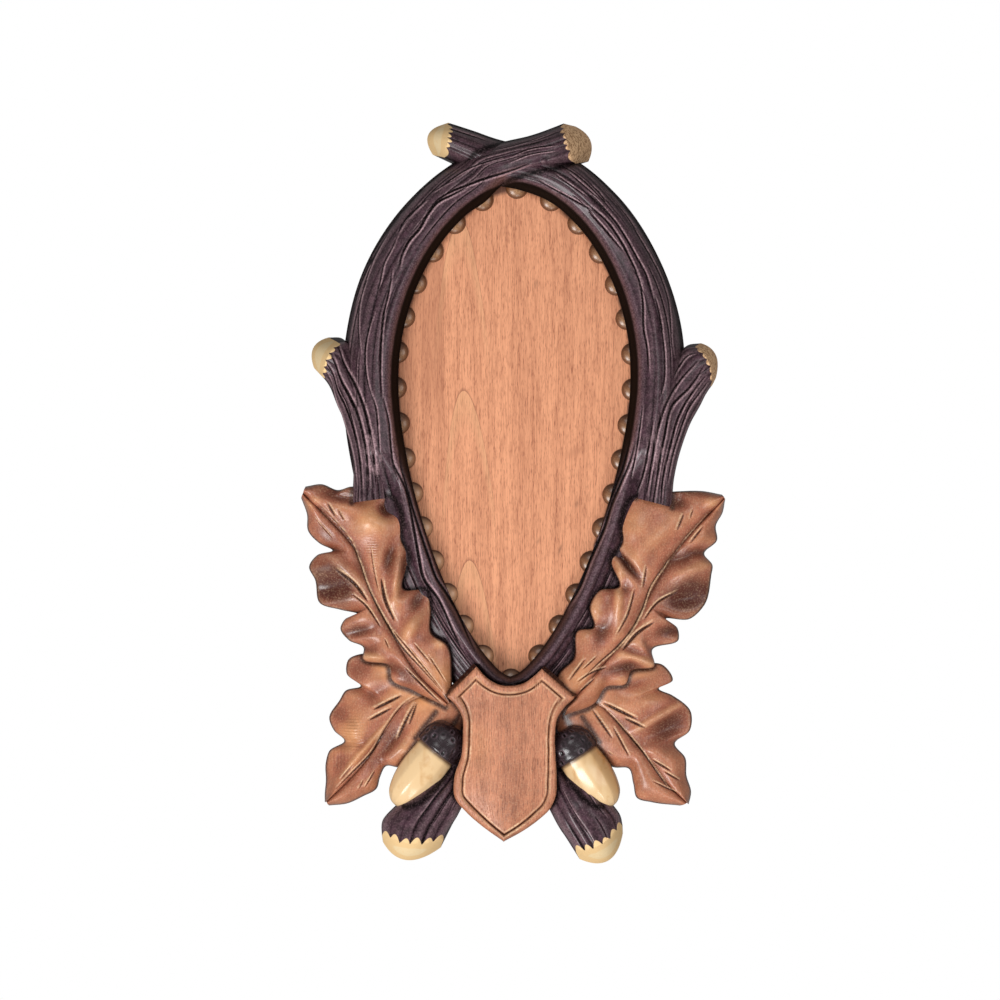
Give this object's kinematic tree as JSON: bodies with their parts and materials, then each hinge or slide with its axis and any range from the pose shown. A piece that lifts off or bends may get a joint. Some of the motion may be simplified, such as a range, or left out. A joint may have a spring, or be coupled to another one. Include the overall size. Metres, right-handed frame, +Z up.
{
  "type": "antler mounting plaque",
  "caption": "Carved oak-leaf and branch wall plaque with a beaded pear-shaped recess for small antlers and a plain shield below.",
  "frame": {"origin": "on the flat back, on the opening's centre line, half way up the plaque", "axes": "+Z up as it hangs, +Y into the wall, -Y out of the carved front, +X to the right as one looks at the front"},
  "size_m": [0.1825, 0.0283, 0.3197],
  "materials": {
    "stained_carving": "dark brown and copper brown stain under satin lacquer, pale saw cuts",
    "panel_wood": "warm light brown stain under satin lacquer"
  },
  "bodies": {
    "root": {"carved_surround": "stained_carving", "back_panel": "panel_wood"}
  },
  "joints": []
}
